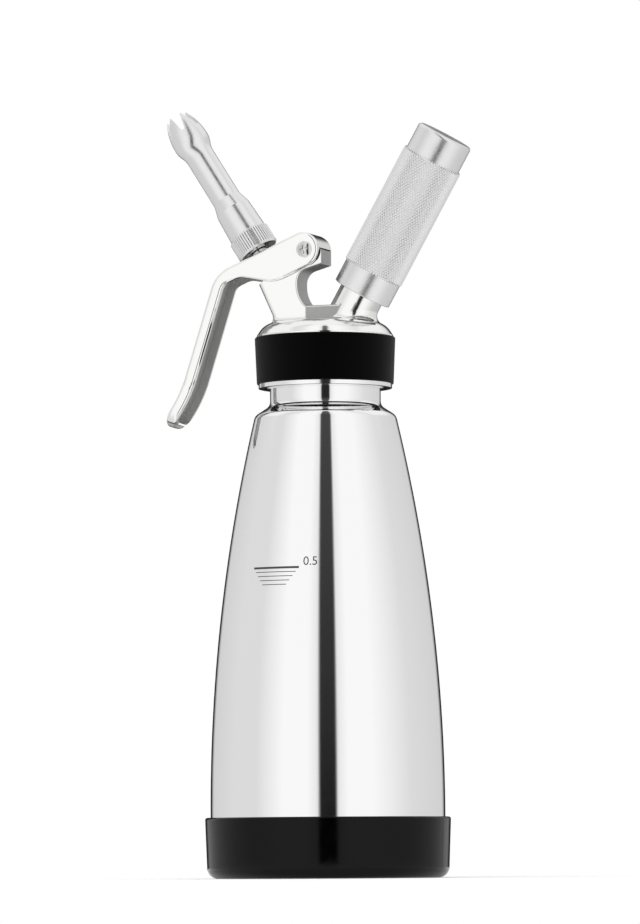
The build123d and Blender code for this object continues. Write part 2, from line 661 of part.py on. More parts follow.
def lever_pocket():
    """Space between the cheeks and under the top plate, open below and at the pivot's end."""
    under = LEVER_END_RISE + LEVER_END_RADIUS - LEVER_PLATE
    elbow = LEVER_ELBOW - LEVER_PLATE * tan(radians(LEVER_BEND) / 2)
    kick = LEVER_HANDLE_LENGTH - LEVER_TIP_LENGTH
    last = LEVER_HANDLE_LENGTH - LEVER_PLATE
    points = [
        by_arm(LEVER_END_OFFSET, under),
        by_arm(elbow, under),
        handle_point(kick, LEVER_PLATE),
        handle_point(last, LEVER_PLATE - LEVER_TIP_KICK),
        handle_point(last, LEVER_WIDTH),
        by_arm(LEVER_END_OFFSET, -LEVER_HANDLE_LENGTH),
    ]
    kick_round = LEVER_KICK_ROUND - LEVER_PLATE
    hollow = flat_outline(points, [0, LEVER_ELBOW_ROUND - LEVER_PLATE, kick_round, 0, 0, 0])
    centre = by_arm(LEVER_END_OFFSET, LEVER_END_RISE)
    wrap = radians(LEVER_WRAP)
    reach = LEVER_WIDTH
    gap_points = [
        (PIVOT.X, PIVOT.Z),
        (PIVOT.X + reach * cos(wrap), PIVOT.Z + reach * sin(wrap)),
        (PIVOT.X + reach, PIVOT.Z - reach),
        (PIVOT.X, PIVOT.Z - reach),
    ]
    pocket = slab(hollow, LEVER_GAP) + slab(flat_outline(gap_points, 0), LEVER_GAP)
    return pocket + cross_bar(Vector(centre[0], 0, centre[1]), LEVER_END_RADIUS - LEVER_PLATE, LEVER_GAP)


def lever_nose():
    """Rounded bar under the top plate that bears on the spring collar."""
    centre = by_valve(0, COLLAR_TOP + NOSE_GAP + NOSE_RADIUS)
    width = LEVER_GAP + LEVER_CHEEK
    return cross_bar(Vector(centre[0], 0, centre[1]), NOSE_RADIUS, width) & slab(lever_outline(), width)


def stem_slot():
    """Slot in the top plate, long enough for the stem while the lever turns."""
    width = STEM_DIAMETER + 2 * STEM_SLOT_GAP
    drift = (NOZZLE_FOOT - VALVE.to_local_coords(PIVOT).Z) * sin(radians(LEVER_TRAVEL))
    slot = extrude(SlotOverall(width + drift, width), NOZZLE_FOOT_RISE)
    return VALVE * Pos(drift / 2, 0, COLLAR_TOP) * slot


def pivot_space():
    """Holes through both cheeks for the pivot's sleeve, with seats for the two heads."""
    side = LEVER_WIDTH / 2
    seat = PIVOT_HEAD_DIAMETER / 2 + FIT_GAP
    hole = disc(PIVOT_R + FIT_GAP, -side, LEVER_WIDTH)
    front_seat = disc(seat, side - PIVOT_HEAD_THICKNESS, PIVOT_HEAD_THICKNESS)
    back_seat = disc(seat, -side, PIVOT_HEAD_THICKNESS)
    return PIVOT_FRAME * (hole + front_seat + back_seat)


def make_lever():
    root = Vector(*handle_point(0, 0))
    tip = Vector(*handle_point(LEVER_HANDLE_LENGTH, 0))
    reach = 2 * LEVER_HANDLE_LENGTH
    middle = tip + (root - tip).normalized() * reach
    face_way = (root - tip).rotate(Axis.Z, 90)
    plan = Plane((middle.X, 0, middle.Y), x_dir=(0, 1, 0), z_dir=(face_way.X, 0, face_way.Y))
    tip_shape = plan * RectangleRounded(LEVER_WIDTH, 2 * reach, LEVER_WIDTH * LEVER_TIP_ROUND_SHARE)
    lever = slab(lever_outline(), LEVER_WIDTH) & extrude(tip_shape, reach, both=True)
    top_middle = by_arm(LEVER_ELBOW / 2, LEVER_END_RISE + LEVER_END_RADIUS)
    lever = fillet(edges_through(lever, [top_middle], LEVER_WIDTH), LEVER_EDGE_ROUND)
    slot = stem_slot()
    return lever - lever_pocket() + (lever_nose() - slot) - slot - pivot_space()


def make_pivot_sleeve():
    side = LEVER_WIDTH / 2
    head_z = side - PIVOT_HEAD_THICKNESS
    flange = disc(PIVOT_HEAD_DIAMETER / 2, -side, PIVOT_HEAD_THICKNESS)
    barrel = disc(PIVOT_R, -side, side + head_z - FIT_GAP)
    thread_length = PIVOT_SCREW_LENGTH + FREE_GAP
    thread = disc(PIVOT_SCREW_DIAMETER / 2 + FIT_GAP, head_z - thread_length, thread_length)
    return PIVOT_FRAME * (flange + barrel - thread)


def make_pivot_screw():
    side = LEVER_WIDTH / 2
    head_z = side - PIVOT_HEAD_THICKNESS
    screw = disc(PIVOT_HEAD_DIAMETER / 2, head_z, PIVOT_HEAD_THICKNESS)
    screw = screw + disc(PIVOT_SCREW_DIAMETER / 2, head_z - PIVOT_SCREW_LENGTH, PIVOT_SCREW_LENGTH)
    bar = Pos(0, 0, side) * Box(SCREW_CROSS_LENGTH, SCREW_CROSS_WIDTH, 2 * SCREW_CROSS_DEPTH)
    return PIVOT_FRAME * (screw - bar - Rot(0, 0, 90) * bar)


def bell_edges(inset):
    """The nozzle's bell and prongs, from the end of the tube to the mouth, moved in by the wall."""
    tube = (NOZZLE_TUBE_DIAMETER / 2 - inset, NOZZLE_TUBE_TOP)
    bell = (NOZZLE_BELL_DIAMETER / 2 - inset, NOZZLE_TUBE_TOP + NOZZLE_BELL_RISE)
    mouth = (NOZZLE_MOUTH_DIAMETER / 2 - inset, NOZZLE_TIP)
    halfway = ((tube[0] + bell[0]) / 2, (tube[1] + bell[1]) / 2)
    flare = TangentArc(tube, halfway, tangent=(0, 1))
    return [flare, TangentArc(halfway, bell, tangent=flare % 1), TangentArc(bell, mouth, tangent=(0, 1))]


def nozzle_solid(points, inset):
    """A solid of revolution that follows the given points up to the tube, then the bell to the mouth."""
    bell = bell_edges(inset)
    outline = Polyline(*points, bell[0] @ 0).edges() + bell
    outline += Polyline(bell[-1] @ 1, (0, NOZZLE_TIP), points[0]).edges()
    return revolve(Plane.XZ * Face(Wire(outline)), Axis.Z)


def nozzle_slot():
    """Gap between two prongs, wide at the mouth and round at its foot."""
    top = pi * NOZZLE_MOUTH_DIAMETER / 2 / PRONG_COUNT - PRONG_TIP_WIDTH / 2
    foot = PRONG_SLOT_FOOT / 2
    foot_z = NOZZLE_TIP - PRONG_SLOT_DEPTH
    points = [(-foot, foot_z), (foot, foot_z), (top, NOZZLE_TIP), (-top, NOZZLE_TIP)]
    round_foot = PRONG_SLOT_FOOT * PRONG_FOOT_ROUND_SHARE
    face = Face(FilletPolyline(*points, radius=[round_foot, round_foot, 0, 0], close=True))
    return extrude(Plane((0, 0, 0), x_dir=(0, 1, 0), z_dir=(1, 0, 0)) * face, NOZZLE_BELL_DIAMETER)


def make_tulip_nozzle():
    knurl = NOZZLE_KNURL_DIAMETER / 2
    collar = NOZZLE_COLLAR_DIAMETER / 2
    collar_top = NOZZLE_KNURL_HEIGHT + NOZZLE_COLLAR_HEIGHT
    outside = [
        (0, 0),
        (knurl - NOZZLE_EDGE, 0),
        (knurl, NOZZLE_EDGE),
        (knurl, NOZZLE_KNURL_HEIGHT - NOZZLE_EDGE),
        (knurl - NOZZLE_EDGE, NOZZLE_KNURL_HEIGHT),
        (collar, NOZZLE_KNURL_HEIGHT),
        (collar - NOZZLE_COLLAR_TAPER / 2, collar_top),
        (NOZZLE_TUBE_DIAMETER / 2, collar_top + NOZZLE_CONE_HEIGHT),
    ]
    thread_top = STEM_TOP - NOZZLE_FOOT + FREE_GAP
    inside = [(0, thread_top), (NOZZLE_TUBE_DIAMETER / 2 - NOZZLE_WALL, thread_top)]
    nozzle = nozzle_solid(outside, 0) - nozzle_solid(inside, NOZZLE_WALL)
    nozzle = nozzle - disc(NOZZLE_RECESS_DIAMETER / 2, 0, NOZZLE_RECESS_DEPTH)
    nozzle = nozzle - disc(STEM_R + FREE_GAP, 0, thread_top)
    slot = nozzle_slot()
    for prong in range(PRONG_COUNT):
        nozzle = nozzle - Rot(0, 0, PRONG_TURN + prong * 360 / PRONG_COUNT) * slot
    return VALVE * Pos(0, 0, NOZZLE_FOOT) * nozzle


def make_piercing_pin():
    bore = PIN_BORE / 2
    tail = PIN_TAIL_DIAMETER / 2
    thread = PIN_THREAD_DIAMETER / 2
    flange = PORT_DIAMETER / 2 - FIT_GAP
    needle = NEEDLE_DIAMETER / 2
    thread_z = PORT_HEIGHT - PIN_THREAD_LENGTH
    needle_top = SEAL_BOTTOM + NEEDLE_LENGTH
    points = [
        (bore, PIN_TAIL_BOTTOM),
        (tail, PIN_TAIL_BOTTOM),
        (tail, thread_z),
        (thread, thread_z),
        (thread, PORT_HEIGHT),
        (flange, PORT_HEIGHT),
        (flange, SEAL_BOTTOM),
        (needle, SEAL_BOTTOM),
        (needle, needle_top),
        (bore, needle_top + NEEDLE_POINT),
    ]
    pin = spun(points, 0)
    gas_way = Rot(0, 90, 0) * Cylinder(bore, 2 * PIN_TAIL_DIAMETER)
    return CHARGER * (pin - Pos(0, 0, thread_z - PIN_TAIL_LENGTH / 2) * gas_way)


def make_charger_seal():
    inner = NEEDLE_DIAMETER / 2 + FREE_GAP
    return CHARGER * ring(inner, PORT_DIAMETER / 2 - FIT_GAP, SEAL_BOTTOM, CHARGER_SEAL_THICKNESS)


def make_check_sleeve():
    inner = PIN_TAIL_DIAMETER / 2 + FIT_GAP
    bottom = PORT_HEIGHT - PIN_THREAD_LENGTH - FIT_GAP - SLEEVE_LENGTH
    return CHARGER * ring(inner, inner + SLEEVE_WALL, bottom, SLEEVE_LENGTH)


def make_gas_charger():
    hole = NEEDLE_DIAMETER / 2 + FREE_GAP
    neck = CHARGER_NECK_DIAMETER / 2
    body = CHARGER_DIAMETER / 2
    wall = CHARGER_WALL
    neck_top = CHARGER_TIP + CHARGER_NECK_LENGTH
    shoulder_top = neck_top + CHARGER_SHOULDER
    points = [
        (hole, CHARGER_TIP),
        (neck, CHARGER_TIP),
        (neck, neck_top),
        (body, shoulder_top),
        (body, CHARGER_END),
        (0, CHARGER_END),
        (0, CHARGER_END - wall),
        (body - wall, CHARGER_END - wall),
        (body - wall, shoulder_top),
        (neck - wall, neck_top),
        (neck - wall, CHARGER_TIP + wall),
        (hole, CHARGER_TIP + wall),
    ]
    rounds = [0, 0, CHARGER_NECK_ROUND, CHARGER_SHOULDER_ROUND, CHARGER_END_ROUND, 0]
    rounds += [0, CHARGER_END_ROUND - wall, CHARGER_SHOULDER_ROUND - wall, CHARGER_NECK_ROUND + wall, 0, 0]
    return CHARGER * spun(points, rounds)


def make_charger_holder():
    rim = HOLDER_R - HOLDER_RIM_STEP
    cap = HOLDER_R - HOLDER_CAP_STEP
    rim_top = HOLDER_FOOT + HOLDER_RIM_HEIGHT
    cap_z = HOLDER_TOP - HOLDER_CAP_HEIGHT
    bore_top = CHARGER_END + FREE_GAP
    mouth_top = STUB_THREAD_TOP + FREE_GAP
    points = [
        (HOLDER_MOUTH_R, HOLDER_FOOT),
        (rim, HOLDER_FOOT),
        (rim, rim_top),
        (HOLDER_R, rim_top),
        (HOLDER_R, cap_z),
        (cap, cap_z),
        (cap, HOLDER_TOP),
        (0, HOLDER_TOP),
        (0, bore_top),
        (HOLDER_BORE_R, bore_top),
        (HOLDER_BORE_R, mouth_top),
        (HOLDER_MOUTH_R, mouth_top),
    ]
    rounds = [0, HOLDER_EDGE, 0, 0, 0, 0, HOLDER_END_ROUND, 0, 0, 0, 0, 0]
    return CHARGER * spun(points, rounds)


PARTS = {
    "bottle": make_bottle,
    "neck_ring": make_neck_ring,
    "base_boot": make_base_boot,
    "head_gasket": make_head_gasket,
    "head_casting": make_head_casting,
    "grip_band": make_grip_band,
    "stem_seal": make_stem_seal,
    "gland_washer": make_gland_washer,
    "piercing_pin": make_piercing_pin,
    "charger_seal": make_charger_seal,
    "check_sleeve": make_check_sleeve,
    "valve_stem": make_valve_stem,
    "valve_gasket": make_valve_gasket,
    "valve_spring": make_valve_spring,
    "spring_collar": make_spring_collar,
    "retaining_ring": make_retaining_ring,
    "tulip_nozzle": make_tulip_nozzle,
    "lever": make_lever,
    "pivot_sleeve": make_pivot_sleeve,
    "pivot_screw": make_pivot_screw,
    "gas_charger": make_gas_charger,
    "charger_holder": make_charger_holder,
}

for name, make in PARTS.items():
    export_step(make(), f"parts/{name}.step")
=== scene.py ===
import json
from math import cos, degrees, pi, radians, sin, tau

import bpy
from mathutils import Matrix, Vector
from mathutils.bvhtree import BVHTree


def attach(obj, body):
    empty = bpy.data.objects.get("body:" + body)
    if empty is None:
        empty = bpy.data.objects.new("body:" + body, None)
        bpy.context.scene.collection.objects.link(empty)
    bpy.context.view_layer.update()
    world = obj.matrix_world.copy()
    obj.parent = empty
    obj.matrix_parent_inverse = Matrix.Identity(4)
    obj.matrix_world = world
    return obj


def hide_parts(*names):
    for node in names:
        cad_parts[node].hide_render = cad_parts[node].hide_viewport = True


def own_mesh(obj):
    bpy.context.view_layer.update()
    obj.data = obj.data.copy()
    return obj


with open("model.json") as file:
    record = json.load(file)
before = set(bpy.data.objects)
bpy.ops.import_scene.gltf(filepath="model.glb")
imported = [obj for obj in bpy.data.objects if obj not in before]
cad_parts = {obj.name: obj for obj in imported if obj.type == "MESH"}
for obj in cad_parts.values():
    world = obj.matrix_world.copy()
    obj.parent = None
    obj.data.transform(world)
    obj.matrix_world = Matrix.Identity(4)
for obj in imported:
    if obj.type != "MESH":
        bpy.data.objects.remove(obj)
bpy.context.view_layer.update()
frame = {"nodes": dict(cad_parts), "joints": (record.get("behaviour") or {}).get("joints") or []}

# A half-litre whipping siphon. Lengths are in millimetres, and MM turns them into the frame's metres.
MM = 0.001
NODES = frame["nodes"]
JOINTS = {joint["name"]: joint for joint in frame["joints"]}
SCENE = bpy.context.scene

# The photograph: its frame and the places in it, in pixels, that set the camera
PHOTO_WIDTH = 640
PHOTO_HEIGHT = 924
PIXELS_PER_MM = 2.79
AXIS_X = 325.8
HORIZON_Y = 850
CAMERA_DISTANCE = 2100
CAMERA_HEIGHT = 10
CAMERA_AZIMUTH = 20
CAMERA_ROLL = 0.36
SENSOR = 36

# Studio: a white tent with a dark slit at the camera and a dark gap behind the object
FLOOR_RADIUS = 112
FLOOR_SIDES = 128
FLOOR_DROP = 0.05
FLOOR_GLOW = 0.2
FILL_LEVEL = "#e6e6e6"
ROOF_LEVEL = "#f6f6f6"
ROOF_FRONT = (72, 84)
ROOF_BACK = (20, 34)
ROOF_EDGE = 0.05
HAZE = 0.1
SOFTBOX_SIZE = 1400
SOFTBOX_PLACE = (-900, -1100, 1500)
SOFTBOX_POWER = 7.0

# Knurl of the charger holder, between its plain rim and its plain cap
HOLDER_RIM_HEIGHT = 8.6
HOLDER_CAP_HEIGHT = 9.9
KNURL_WIDTH = 1.0
KNURL_LENGTH = 1.7
KNURL_DEPTH = 0.3
KNURL_SINK = 0.04

# Flutes round the nozzle's foot
FLUTE_COUNT = 48
FLUTE_WIDTH = 0.8
FLUTE_PROUD = 0.14
FLUTE_HEIGHT = 6.2
FLUTE_START = 0.7
FLUTE_SIDES = 8

# Screw threads: pitch, ridge, and how far the ridge stands out of the plain cylinder
NECK_PITCH = 3.0
STUB_PITCH = 1.5
STUB_THREAD_RADIUS = 9.35
STUB_THREAD_LENGTH = 8.4
STEM_PITCH = 1.0
STEM_THREAD_RADIUS = 3.0
STEM_THREAD_LENGTH = 8.6
RIDGE_PROUD = 0.2
THREAD_SIDES = 8
THREAD_STEPS = 96

# Surfaces of the castings that the polishing wheel can't reach, left rough and greyed in colour as painted
# shade: round the throat, on the saddle's sides, where the head overhangs, and in the lever's channel; just
# above the head's foot, faces that point down are painted dark as painted shade
THROAT_CENTRE = (2.1, 0, 212.7)
THROAT_REACH = 15.0
THROAT_HALF_WIDTH = 5.2
SADDLE_HALF_WIDTH = 7.8
SADDLE_TOP = 205.2
OVERHANG = -0.5
OVERHANG_EDGE = 0.2
# height above the head's foot up to which faces that point down are painted dark as painted shade
UNDERSIDE_SHADE_DEPTH = 1.0
CHANNEL_HALF_WIDTH = 5.95
CHANNEL_END = -9.0
CHANNEL_FACING = 0.5
FACING_EDGE = 0.05
LEVER_OUTWARD_ANGLE = 42.4
PATCH_EDGE = 0.05

# Domed head of the pivot's screw, and its cross recess
DOME_RADIUS = 2.5
DOME_HEIGHT = 0.8
DOME_FOOT = 0.1
DOME_RINGS = 28
DOME_SIDES = 96
RECESS_LENGTH = 3.0
RECESS_WIDTH = 0.75
RECESS_DEPTH = 0.6
RECESS_TURN = 12

# Spring under the lever
SPRING_WIRE = 0.8
SPRING_TURNS = 5
SPRING_SIDES = 14

# Fill mark printed on the bottle: heights above the floor, and angles from the camera's azimuth
MARK_HEIGHT = 109.7
MARK_TURN = -30.6
MARK_HALF_ANGLE = 14.9
MARK_THICKNESS = 0.75
TICK_COUNT = 4
TICK_SPACING = 1.5
TICK_SHRINK = 1.8
TICK_THICKNESS = 0.26
PRINT_RELIEF = 0.02
PRINT_STEP = 0.5
NUMBER_TURN = -13.4
NUMBER_HEIGHT = 110.4
NUMBER_SIZE = 4.4

# Noise in the finishes: the part of its range that is used, and how far a roughness strays from its mean
NOISE_LOW = 0.3
NOISE_HIGH = 0.7
ROUGH_STRAY = 0.04

# Sockets of a mix node, whose names are the same for numbers and for colours
FACTOR, NUMBER_A, NUMBER_B, COLOUR_A, COLOUR_B = 0, 2, 3, 6, 7
COLOUR_OUT = 2


def axis_frame(origin, axis):
    """Matrix whose Z runs along an axis of the middle plane, with the part's own Y kept."""
    along = Vector(axis).normalized()
    across = Vector((0, 1, 0))
    placed = Matrix((across.cross(along), across, along)).transposed().to_4x4()
    placed.translation = Vector(origin)
    return placed


MEET = Vector(JOINTS["holder_turn"]["pos_m"])
BOTTLE_FRAME = Matrix.Identity(4)
VALVE_FRAME = axis_frame(MEET, JOINTS["nozzle_lift"]["axis"])
CHARGER_FRAME = axis_frame(MEET, JOINTS["holder_turn"]["axis"])


def reach(node, placed):
    """A node's lowest and highest place along an axis frame and its radius about it, in millimetres."""
    inside = placed.inverted()
    points = [inside @ vertex.co for vertex in NODES[node].data.vertices]
    heights = [point.z / MM for point in points]
    radius = max(point.xy.length for point in points) / MM
    return min(heights), max(heights), radius


def linear(hex_text):
    """An sRGB hex value as linear red, green, blue and alpha."""
    channels = [int(hex_text[i : i + 2], 16) / 255 for i in (1, 3, 5)]
    return [c / 12.92 if c <= 0.04045 else ((c + 0.055) / 1.055) ** 2.4 for c in channels] + [1.0]


def add(tree, kind, inputs=None, out=0, **settings):
    """Adds a node with its settings and its inputs, linked or set, and gives one of its outputs."""
    node = tree.nodes.new(kind)
    for name, value in settings.items():
        setattr(node, name, value)
    for key, value in (inputs or {}).items():
        if isinstance(value, bpy.types.NodeSocket):
            tree.links.new(value, node.inputs[key])
        else:
            node.inputs[key].default_value = value
    return node.outputs[out] if node.outputs else node


def finish_of(name, **sockets):
    """A new material with its shader's plain values set, and its tree."""
    made = bpy.data.materials.new(name)
    made.use_nodes = True
    shader = made.node_tree.nodes["Principled BSDF"]
    for socket, value in sockets.items():
        shader.inputs[socket.replace("_", " ")].default_value = value
    return made, made.node_tree, shader


def along_axis(tree, placed):
    """Coordinates of a piece measured in its own axis frame."""
    coordinates = add(tree, "ShaderNodeTexCoord", out="Object")
    inputs = {"Vector": coordinates, "Location": placed.translation, "Rotation": placed.to_euler()}
    return add(tree, "ShaderNodeMapping", inputs, vector_type="TEXTURE")


def grain(tree, vector, sizes, detail=2.0):
    """Noise from 0 to 1 with that grain size in millimetres along each axis."""
    inputs = {"Vector": vector, "Scale": [1 / (size * MM) for size in sizes]}
    inputs = {"Vector": add(tree, "ShaderNodeMapping", inputs), "Scale": 1.0, "Detail": detail}
    return add(tree, "ShaderNodeTexNoise", inputs)


def spread(tree, value, low, high):
    """A noise value spread between two limits."""
    inputs = {"Value": value, "From Min": NOISE_LOW, "From Max": NOISE_HIGH, "To Min": low, "To Max": high}
    return add(tree, "ShaderNodeMapRange", inputs)


def relief(tree, shader, height, depth, normal=None):
    """Bump of that depth in millimetres on a shader."""
    inputs = {"Height": height, "Distance": depth * MM, "Strength": 1.0}
    if normal is not None:
        inputs["Normal"] = normal
    tree.links.new(add(tree, "ShaderNodeBump", inputs), shader.inputs["Normal"])


def true_round(tree, vector):
    """Normal of a turned surface without its mesh's flats: straight out from the axis, just as steep."""
    normal = add(tree, "ShaderNodeTexCoord", out="Normal")
    outward = add(tree, "ShaderNodeVectorMath", {0: vector, 1: (1, 1, 0)}, operation="MULTIPLY")
    level = add(tree, "ShaderNodeVectorMath", {0: normal, 1: outward}, operation="PROJECT")
    upright = add(tree, "ShaderNodeVectorMath", {0: normal, 1: (0, 0, 1)}, operation="MULTIPLY")
    whole = add(tree, "ShaderNodeVectorMath", {0: level, 1: upright}, operation="ADD")
    return add(tree, "ShaderNodeVectorMath", {0: whole}, operation="NORMALIZE")


def polished_stainless():
    """Drawn stainless steel, buffed to a mirror: sharp reflections with faint wiping marks round it."""
    made, tree, shader = finish_of("mirror_stainless_steel", Base_Color=linear("#f8f8f8"), Metallic=1.0)
    vector = along_axis(tree, BOTTLE_FRAME)
    smears = spread(tree, grain(tree, vector, (26, 26, 60), 3.0), 0.035, 0.075)
    tree.links.new(smears, shader.inputs["Roughness"])
    # buffing lines are a few hundredths of a millimetre apart; drawn at 0.5 mm so that they show
    relief(tree, shader, grain(tree, vector, (14, 14, 0.5)), 0.00025, true_round(tree, vector))
    return made


def below(tree, value, limit, edge):
    """One where a value is below a limit, and nought above it."""
    inputs = {"Value": value, "From Min": limit - edge, "From Max": limit + edge}
    return add(tree, "ShaderNodeMapRange", {**inputs, "To Min": 1.0, "To Max": 0.0})


def off_middle(tree, vector):
    """Distance from the part's middle plane."""
    aside = add(tree, "ShaderNodeSeparateXYZ", {0: vector}, out="Y")
    return add(tree, "ShaderNodeMath", {0: aside}, operation="ABSOLUTE")


def facing(tree, direction):
    """How far a surface faces a direction: one straight towards it, and minus one straight away."""
    inputs = {0: add(tree, "ShaderNodeTexCoord", out="Normal"), 1: direction}
    return add(tree, "ShaderNodeVectorMath", inputs, out="Value", operation="DOT_PRODUCT")


def overhanging(tree):
    """One on faces that point down."""
    return below(tree, facing(tree, (0, 0, 1)), OVERHANG, OVERHANG_EDGE)


def head_blast_and_shade(tree, vector):
    """The head's rough walls, greyed as painted shade: between the hook and the stub, on the saddle's sides,
    and overhanging.
    """
    centre = [size * MM for size in THROAT_CENTRE]
    away = add(tree, "ShaderNodeVectorMath", {0: vector, 1: centre}, operation="SUBTRACT")
    flat = add(tree, "ShaderNodeVectorMath", {0: away, 1: (1, 0, 1)}, operation="MULTIPLY")
    distance = add(tree, "ShaderNodeVectorMath", {0: flat}, out="Value", operation="LENGTH")
    near = below(tree, distance, THROAT_REACH * MM, PATCH_EDGE * MM)
    aside = off_middle(tree, vector)
    between = below(tree, aside, THROAT_HALF_WIDTH * MM, PATCH_EDGE * MM)
    throat = add(tree, "ShaderNodeMath", {0: near, 1: between}, operation="MULTIPLY")
    off_side = add(tree, "ShaderNodeMath", {0: aside, 1: SADDLE_HALF_WIDTH * MM}, operation="SUBTRACT")
    off_side = add(tree, "ShaderNodeMath", {0: off_side}, operation="ABSOLUTE")
    side = below(tree, off_side, 2 * PATCH_EDGE * MM, PATCH_EDGE * MM)
    height = add(tree, "ShaderNodeSeparateXYZ", {0: vector}, out="Z")
    low = below(tree, height, SADDLE_TOP * MM, PATCH_EDGE * MM)
    low_side = add(tree, "ShaderNodeMath", {0: side, 1: low}, operation="MULTIPLY")
    saddle = add(tree, "ShaderNodeMath", {0: near, 1: low_side}, operation="MULTIPLY")
    walls = add(tree, "ShaderNodeMath", {0: throat, 1: saddle}, operation="MAXIMUM")
    return add(tree, "ShaderNodeMath", {0: walls, 1: overhanging(tree)}, operation="MAXIMUM")


def channel_blast_and_shade(tree, vector):
    """The lever's rough inside, greyed as painted shade: between its cheeks, short of the pivot, and not
    facing out or up.
    """
    lean = radians(LEVER_OUTWARD_ANGLE)
    inward = below(tree, facing(tree, (-cos(lean), 0, sin(lean))), CHANNEL_FACING, FACING_EDGE)
    between = below(tree, off_middle(tree, vector), CHANNEL_HALF_WIDTH * MM, PATCH_EDGE * MM)
    across = add(tree, "ShaderNodeSeparateXYZ", {0: vector}, out="X")
    short = below(tree, across, CHANNEL_END * MM, PATCH_EDGE * MM)
    inside = add(tree, "ShaderNodeMath", {0: inward, 1: between}, operation="MULTIPLY")
    return add(tree, "ShaderNodeMath", {0: inside, 1: short}, operation="MULTIPLY")


def polished_casting(name, patch_of, blasted_shade_colour, underside_shade_top):
    """Stainless casting, polished by hand with a slight wave, and rough where no wheel reaches, with its
    colour there greyed as painted shade. Below a height, faces that point down are painted dark: painted
    shade under the head.
    """
    made, tree, shader = finish_of(name, Metallic=1.0)
    vector = along_axis(tree, BOTTLE_FRAME)
    patch = patch_of(tree, vector)
    smears = spread(tree, grain(tree, vector, (5, 5, 5), 3.0), 0.06, 0.13)
    blasted = spread(tree, grain(tree, vector, (1.5, 1.5, 1.5), 3.0), 0.42, 0.52)
    # inside the patch the colour turns grey: painted shade in the recesses and under the overhangs, on top
    # of the rougher blasted finish
    inputs = {FACTOR: patch, COLOUR_A: linear("#f9f9f8"), COLOUR_B: linear(blasted_shade_colour)}
    patched_colour = add(tree, "ShaderNodeMix", inputs, COLOUR_OUT, data_type="RGBA")
    # painted shade: faces that point down below this height are darkened to #4c4c4b, the shade under the
    # head
    height = add(tree, "ShaderNodeSeparateXYZ", {0: vector}, out="Z")
    low = below(tree, height, underside_shade_top * MM, PATCH_EDGE * MM)
    underside_shade_mask = add(tree, "ShaderNodeMath", {0: low, 1: overhanging(tree)}, operation="MULTIPLY")
    inputs = {FACTOR: underside_shade_mask, COLOUR_A: patched_colour, COLOUR_B: linear("#4c4c4b")}
    shade = add(tree, "ShaderNodeMix", inputs, COLOUR_OUT, data_type="RGBA")
    tree.links.new(shade, shader.inputs["Base Color"])
    rough = add(tree, "ShaderNodeMix", {FACTOR: patch, NUMBER_A: smears, NUMBER_B: blasted})
    tree.links.new(rough, shader.inputs["Roughness"])
    relief(tree, shader, grain(tree, vector, (7, 7, 7)), 0.015)
    return made


def turned_metal(name, placed, colour, rough, lines, depth):
    """Lathe-turned metal: soft reflections drawn out across fine rings round its axis."""
    made, tree, shader = finish_of(name, Base_Color=linear(colour), Metallic=1.0)
    vector = along_axis(tree, placed)
    haze = spread(tree, grain(tree, vector, (3, 3, 3), 3.0), rough - ROUGH_STRAY, rough + ROUGH_STRAY)
    tree.links.new(haze, shader.inputs["Roughness"])
    # tool marks are about 0.1 mm apart; drawn wider so that they show
    relief(tree, shader, grain(tree, vector, (40, 40, lines)), depth)
    return made


def moulded_rubber(name, gloss, rough, bloom, depth):
    """Moulded synthetic rubber: near-black with a dusty bloom and a fine leathery grain."""
    made, tree, shader = finish_of(
        name,
        Base_Color=linear("#020202"),
        Specular_IOR_Level=gloss,
        IOR=1.5,
        Sheen_Weight=bloom,
        Sheen_Roughness=0.5,
    )
    vector = along_axis(tree, BOTTLE_FRAME)
    haze = spread(tree, grain(tree, vector, (4, 4, 4), 3.0), rough - ROUGH_STRAY, rough + ROUGH_STRAY)
    tree.links.new(haze, shader.inputs["Roughness"])
    relief(tree, shader, grain(tree, vector, (0.5, 0.5, 0.5)), depth)
    return made


def silicone():
    """Moulded food-safe silicone: dull dark grey, with an uneven sheen and a fine grain."""
    made, tree, shader = finish_of("moulded_silicone", Base_Color=linear("#4a4b4d"), IOR=1.41)
    vector = along_axis(tree, BOTTLE_FRAME)
    tree.links.new(spread(tree, grain(tree, vector, (2, 2, 2)), 0.5, 0.65), shader.inputs["Roughness"])
    relief(tree, shader, grain(tree, vector, (0.3, 0.3, 0.3)), 0.006)
    return made


def zinc_plate():
    """Deep-drawn steel with bright zinc plating: greyish, with a mottled bloom."""
    made, tree, shader = finish_of("zinc_plated_steel", Metallic=1.0)
    vector = along_axis(tree, CHARGER_FRAME)
    bloom = grain(tree, vector, (2.2, 2.2, 2.2), 4.0)
    inputs = {FACTOR: bloom, COLOUR_A: linear("#b9bdc2"), COLOUR_B: linear("#d6d8da")}
    shade = add(tree, "ShaderNodeMix", inputs, COLOUR_OUT, data_type="RGBA")
    tree.links.new(shade, shader.inputs["Base Color"])
    tree.links.new(spread(tree, bloom, 0.22, 0.36), shader.inputs["Roughness"])
    return made


def etched_print():
    """Electro-etched grey marking: matt and a little uneven, flush with the steel."""
    made, tree, shader = finish_of("etched_grey_marking", Roughness=0.6, Specular_IOR_Level=0.2)
    vector = along_axis(tree, BOTTLE_FRAME)
    mottle = grain(tree, vector, (0.6, 0.6, 0.6), 3.0)
    inputs = {FACTOR: mottle, COLOUR_A: linear("#3c3c3e"), COLOUR_B: linear("#565658")}
    shade = add(tree, "ShaderNodeMix", inputs, COLOUR_OUT, data_type="RGBA")
    tree.links.new(shade, shader.inputs["Base Color"])
    return made


